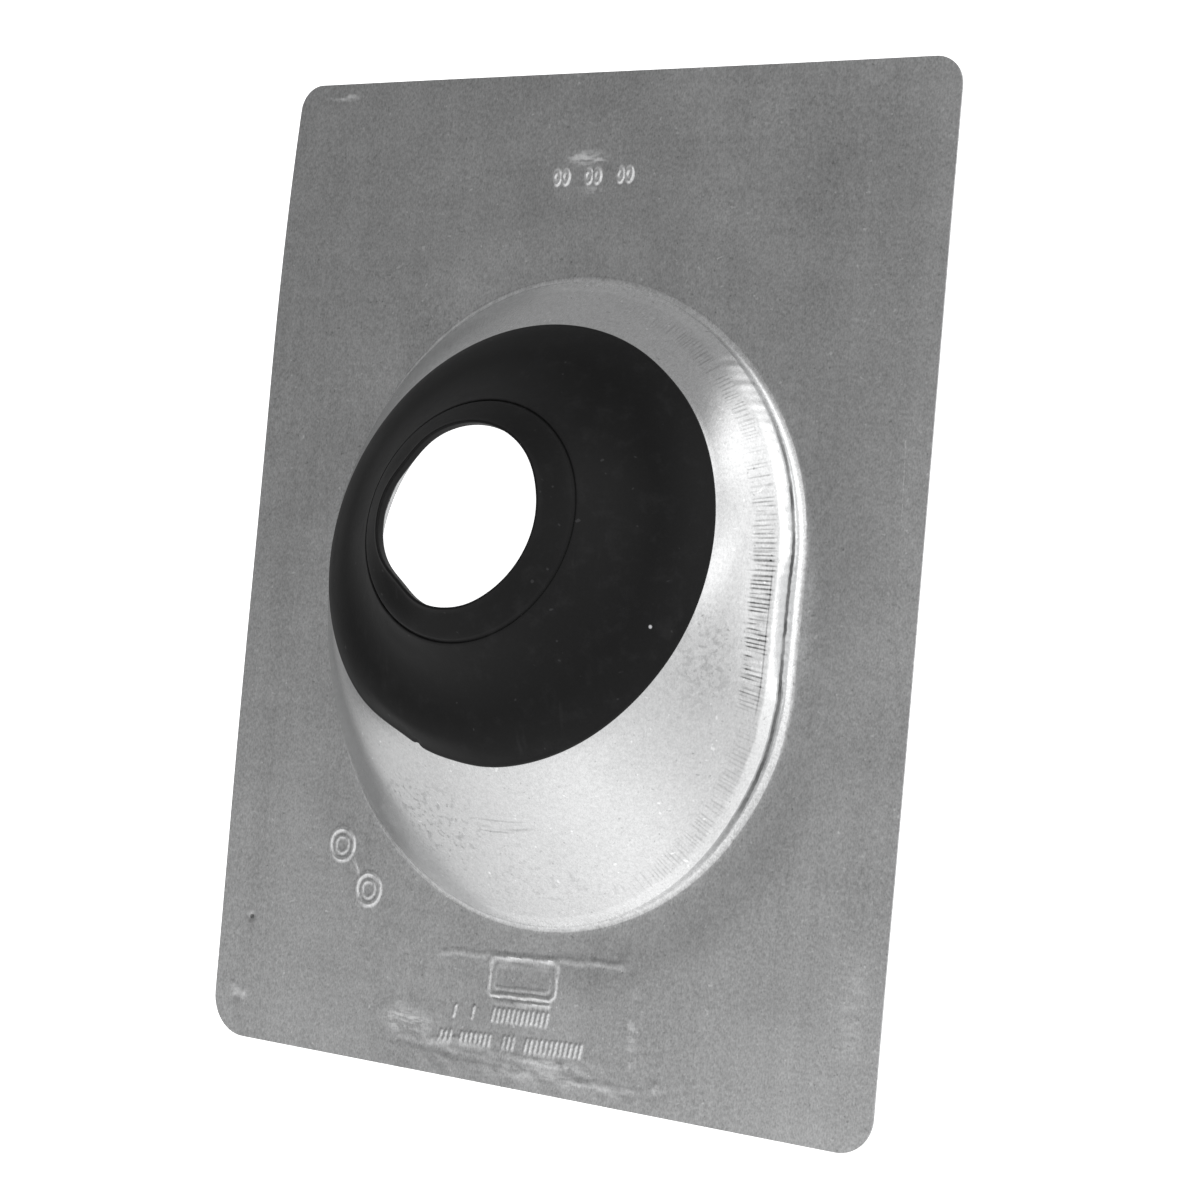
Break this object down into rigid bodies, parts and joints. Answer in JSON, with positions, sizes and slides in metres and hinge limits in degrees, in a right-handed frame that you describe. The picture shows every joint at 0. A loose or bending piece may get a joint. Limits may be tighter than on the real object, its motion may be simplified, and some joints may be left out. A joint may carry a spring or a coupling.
{
  "type": "pipe flashing boot",
  "caption": "Roof flashing for a vent pipe: rectangular sheet-metal flange with a drawn oval dome and a flexible black collar that seals round the pipe.",
  "frame": {"origin": "centre of the flange's rectangle, on its underside, which lies on the roof", "axes": "+X across the roof, +Y up the slope along the flange's longer side, +Z out of the roof"},
  "size_m": [0.3174, 0.4064, 0.0819],
  "materials": {
    "sheet_metal": "mill finish with faint rolling lines, light handling scratches and drawing marks on the dome",
    "collar_rubber": "moulded elastomer, satin black with a faint dusty bloom"
  },
  "bodies": {
    "root": {"metal_base": "sheet_metal", "rubber_collar": "collar_rubber"}
  },
  "joints": []
}
